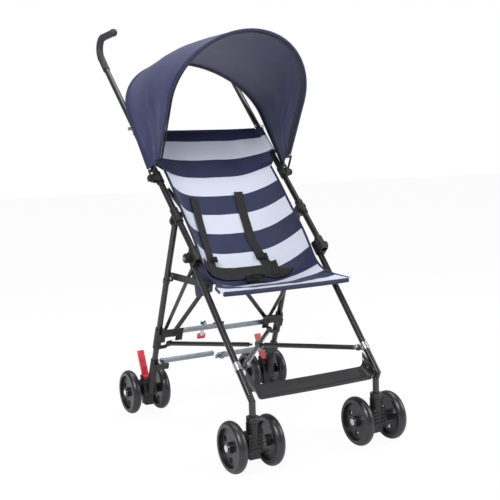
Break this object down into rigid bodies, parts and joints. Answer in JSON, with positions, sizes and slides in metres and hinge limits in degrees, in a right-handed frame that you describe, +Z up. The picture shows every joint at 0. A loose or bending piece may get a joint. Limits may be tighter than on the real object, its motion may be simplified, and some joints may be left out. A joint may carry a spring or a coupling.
{
  "type": "baby stroller",
  "caption": "Folding umbrella stroller with a striped sling seat, a hooped sun canopy, hooked grips and twin swivelling front wheels",
  "frame": {"origin": "on the floor, under the middle of the bounding box", "axes": "+X to the child's left, +Y to the rear, where the parent walks, +Z up"},
  "size_m": [0.4994, 0.8724, 1.0691],
  "materials": {
    "frame_tube": "satin",
    "grip": "matt, ribbed",
    "wheel": "semi-gloss",
    "bright_steel": "bright",
    "bar": "zinc plated",
    "red_plastic": "gloss",
    "striped_cloth": "woven, navy and white stripes",
    "webbing": "woven webbing",
    "footrest": "coated woven strap",
    "black_plastic": "matt moulded"
  },
  "bodies": {
    "side_right": {"push_tube_right": "frame_tube", "grip_right": "grip", "hub_right": "black_plastic", "lower_clamp_right": "black_plastic", "front_leg_right": "frame_tube", "canopy_clamp_right": "black_plastic", "seat_pin_right": "bright_steel", "front_bracket_right": "bright_steel", "seat": "striped_cloth", "harness": "webbing", "buckle": "black_plastic", "footrest": "footrest", "canopy": "striped_cloth", "canopy_bow_rear": "black_plastic"},
    "side_left": {"push_tube_left": "frame_tube", "grip_left": "grip", "hub_left": "black_plastic", "lower_clamp_left": "black_plastic", "front_leg_left": "frame_tube", "canopy_clamp_left": "black_plastic", "seat_pin_left": "bright_steel", "front_bracket_left": "bright_steel"},
    "rear_right": {"rear_leg_right": "frame_tube", "rear_housing_right": "black_plastic", "rear_axle_right": "bright_steel", "rear_bracket_right": "black_plastic"},
    "front_brace_right": {"front_arm_right": "frame_tube"},
    "rear_brace_right": {"rear_arm_right": "frame_tube"},
    "back_cross_right": {"back_tube_right": "frame_tube"},
    "side_stay_right": {"side_tube_right": "frame_tube"},
    "side_link_right": {"side_link_right": "black_plastic"},
    "upper_bar_right": {"upper_bar_right": "bar"},
    "lower_bar_right": {"lower_bar_right": "bar"},
    "brake_right": {"brake_lever_right": "red_plastic"},
    "caster_right": {"caster_right": "black_plastic", "front_axle_right": "bright_steel"},
    "front_wheel_right_outer": {"front_wheel_right_outer": "wheel"},
    "rear_wheel_right_outer": {"rear_wheel_right_outer": "wheel"},
    "front_wheel_right_inner": {"front_wheel_right_inner": "wheel"},
    "rear_wheel_right_inner": {"rear_wheel_right_inner": "wheel"},
    "rear_left": {"rear_leg_left": "frame_tube", "rear_housing_left": "black_plastic", "rear_axle_left": "bright_steel", "rear_bracket_left": "black_plastic"},
    "front_brace_left": {"front_arm_left": "frame_tube"},
    "rear_brace_left": {"rear_arm_left": "frame_tube"},
    "back_cross_left": {"back_tube_left": "frame_tube"},
    "side_stay_left": {"side_tube_left": "frame_tube"},
    "side_link_left": {"side_link_left": "black_plastic"},
    "upper_bar_left": {"upper_bar_left": "bar"},
    "lower_bar_left": {"lower_bar_left": "bar"},
    "brake_left": {"brake_lever_left": "red_plastic"},
    "caster_left": {"caster_left": "black_plastic", "front_axle_left": "bright_steel"},
    "front_wheel_left_outer": {"front_wheel_left_outer": "wheel"},
    "rear_wheel_left_outer": {"rear_wheel_left_outer": "wheel"},
    "front_wheel_left_inner": {"front_wheel_left_inner": "wheel"},
    "rear_wheel_left_inner": {"rear_wheel_left_inner": "wheel"},
    "foot_lever": {"foot_lever": "red_plastic"},
    "canopy_front": {"canopy_bow_front": "black_plastic"}
  },
  "joints": [
    {"name": "fold_right", "type": "hinge", "parent": "side_right", "child": "rear_right", "pos_m": [0.184, -0.03178, 0.54882], "axis": [-1, 0, 0], "range_deg": [0, 45]},
    {"name": "side_slide", "type": "slide", "parent": "side_right", "child": "side_left", "axis": [1, 0, 0], "range_m": [0, 0.2], "deforming": ["seat", "harness", "buckle", "footrest", "canopy_bow_front", "canopy_bow_rear"]},
    {"name": "fold_left", "type": "hinge", "parent": "side_left", "child": "rear_left", "pos_m": [-0.184, -0.03178, 0.54882], "axis": [-1, 0, 0], "range_deg": [0, 45]},
    {"name": "front_brace_right", "type": "hinge", "parent": "side_right", "child": "front_brace_right", "pos_m": [0.16, -0.33424, 0.23], "axis": [0.9381, 0.076, -0.338], "range_deg": [0, 94.7]},
    {"name": "front_brace_left", "type": "hinge", "parent": "side_left", "child": "front_brace_left", "pos_m": [-0.16, -0.33424, 0.23], "axis": [0.9381, -0.076, 0.338], "range_deg": [0, 94.7]},
    {"name": "rear_brace_right", "type": "hinge", "parent": "rear_right", "child": "rear_brace_right", "pos_m": [0.158, 0.09876, 0.206], "axis": [-0.7109, -0.334, 0.6189], "range_deg": [0, 55.4]},
    {"name": "rear_brace_left", "type": "hinge", "parent": "rear_left", "child": "rear_brace_left", "pos_m": [-0.158, 0.09876, 0.206], "axis": [-0.7109, 0.334, -0.6189], "range_deg": [0, 55.4]},
    {"name": "back_cross_right", "type": "hinge", "parent": "rear_right", "child": "back_cross_right", "pos_m": [0.15, 0.10459, 0.23943], "axis": [0.352, 0.9359, -0.015], "range_deg": [0, 28.06]},
    {"name": "back_cross_left", "type": "hinge", "parent": "rear_left", "child": "back_cross_left", "pos_m": [-0.15, 0.08887, 0.23297], "axis": [0.352, -0.9359, 0.015], "range_deg": [0, 28.06]},
    {"name": "side_stay_right", "type": "hinge", "parent": "rear_right", "child": "side_stay_right", "pos_m": [0.164, 0.1112, 0.23782], "axis": [-1, 0, 0], "range_deg": [0, 9.83]},
    {"name": "side_stay_left", "type": "hinge", "parent": "rear_left", "child": "side_stay_left", "pos_m": [-0.164, 0.1112, 0.23782], "axis": [-1, 0, 0], "range_deg": [0, 9.83]},
    {"name": "side_link_right", "type": "hinge", "parent": "side_right", "child": "side_link_right", "pos_m": [0.1694, -0.17924, 0.4], "axis": [1, 0, 0], "range_deg": [0, 47]},
    {"name": "side_link_left", "type": "hinge", "parent": "side_left", "child": "side_link_left", "pos_m": [-0.1694, -0.17924, 0.4], "axis": [1, 0, 0], "range_deg": [0, 47]},
    {"name": "upper_bar_right", "type": "hinge", "parent": "rear_right", "child": "upper_bar_right", "pos_m": [0.136, 0.09455, 0.23098], "axis": [0, 0.9249, 0.3802], "range_deg": [0, 68]},
    {"name": "upper_bar_left", "type": "hinge", "parent": "rear_left", "child": "upper_bar_left", "pos_m": [-0.136, 0.10565, 0.23554], "axis": [0, -0.9249, -0.3802], "range_deg": [0, 68]},
    {"name": "lower_bar_right", "type": "hinge", "parent": "rear_right", "child": "lower_bar_right", "pos_m": [0.162, 0.12953, 0.14589], "axis": [0, 0.9249, 0.3802], "range_deg": [0, 62]},
    {"name": "lower_bar_left", "type": "hinge", "parent": "rear_left", "child": "lower_bar_left", "pos_m": [-0.162, 0.14063, 0.15045], "axis": [0, -0.9249, -0.3802], "range_deg": [0, 62]},
    {"name": "foot_lever", "type": "hinge", "parent": "upper_bar_left", "child": "foot_lever", "pos_m": [-0.04, 0.12461, 0.24333], "axis": [0, 0.9249, 0.3802], "range_deg": [0, 20]},
    {"name": "canopy_fold", "type": "hinge", "parent": "side_right", "child": "canopy_front", "pos_m": [0.203, 0.0549, 0.6566], "axis": [-1, 0, 0], "range_deg": [0, 45], "deforming": ["canopy"]},
    {"name": "brake_right", "type": "hinge", "parent": "rear_right", "child": "brake_right", "pos_m": [0.19, 0.19576, 0.098], "axis": [-1, 0, 0], "range_deg": [0, 20]},
    {"name": "caster_right", "type": "hinge", "parent": "side_right", "child": "caster_right", "pos_m": [0.173, -0.38724, 0.126], "axis": [0, 0, 1], "continuous": true},
    {"name": "front_wheel_right_outer", "type": "hinge", "parent": "caster_right", "child": "front_wheel_right_outer", "pos_m": [0.221, -0.37624, 0.06], "axis": [1, 0, 0], "continuous": true},
    {"name": "rear_wheel_right_outer", "type": "hinge", "parent": "rear_right", "child": "rear_wheel_right_outer", "pos_m": [0.2335, 0.20576, 0.06], "axis": [1, 0, 0], "continuous": true},
    {"name": "front_wheel_right_inner", "type": "hinge", "parent": "caster_right", "child": "front_wheel_right_inner", "pos_m": [0.125, -0.37624, 0.06], "axis": [1, 0, 0], "continuous": true},
    {"name": "rear_wheel_right_inner", "type": "hinge", "parent": "rear_right", "child": "rear_wheel_right_inner", "pos_m": [0.1465, 0.20576, 0.06], "axis": [1, 0, 0], "continuous": true},
    {"name": "brake_left", "type": "hinge", "parent": "rear_left", "child": "brake_left", "pos_m": [-0.19, 0.19576, 0.098], "axis": [-1, 0, 0], "range_deg": [0, 20]},
    {"name": "caster_left", "type": "hinge", "parent": "side_left", "child": "caster_left", "pos_m": [-0.173, -0.38724, 0.126], "axis": [0, 0, 1], "continuous": true},
    {"name": "front_wheel_left_outer", "type": "hinge", "parent": "caster_left", "child": "front_wheel_left_outer", "pos_m": [-0.221, -0.37624, 0.06], "axis": [1, 0, 0], "continuous": true},
    {"name": "rear_wheel_left_outer", "type": "hinge", "parent": "rear_left", "child": "rear_wheel_left_outer", "pos_m": [-0.2335, 0.20576, 0.06], "axis": [1, 0, 0], "continuous": true},
    {"name": "front_wheel_left_inner", "type": "hinge", "parent": "caster_left", "child": "front_wheel_left_inner", "pos_m": [-0.125, -0.37624, 0.06], "axis": [1, 0, 0], "continuous": true},
    {"name": "rear_wheel_left_inner", "type": "hinge", "parent": "rear_left", "child": "rear_wheel_left_inner", "pos_m": [-0.1465, 0.20576, 0.06], "axis": [1, 0, 0], "continuous": true}
  ],
  "couplings": [
    {"joint": "side_slide", "follows": "fold_right", "m_per_rad": 0.25465},
    {"joint": "fold_left", "follows": "fold_right", "ratio": 1},
    {"joint": "front_brace_right", "follows": "fold_right", "ratio": 2.1044},
    {"joint": "front_brace_left", "follows": "fold_right", "ratio": 2.1044},
    {"joint": "rear_brace_right", "follows": "fold_right", "ratio": 1.2311},
    {"joint": "rear_brace_left", "follows": "fold_right", "ratio": 1.2311},
    {"joint": "back_cross_right", "follows": "fold_right", "ratio": 0.62356},
    {"joint": "back_cross_left", "follows": "fold_right", "ratio": 0.62356},
    {"joint": "side_stay_right", "follows": "fold_right", "ratio": 0.21844},
    {"joint": "side_stay_left", "follows": "fold_right", "ratio": 0.21844},
    {"joint": "side_link_right", "follows": "fold_right", "ratio": 1.0444},
    {"joint": "side_link_left", "follows": "fold_right", "ratio": 1.0444},
    {"joint": "upper_bar_right", "follows": "fold_right", "ratio": 1.5111},
    {"joint": "upper_bar_left", "follows": "fold_right", "ratio": 1.5111},
    {"joint": "lower_bar_right", "follows": "fold_right", "ratio": 1.3778},
    {"joint": "lower_bar_left", "follows": "fold_right", "ratio": 1.3778}
  ]
}
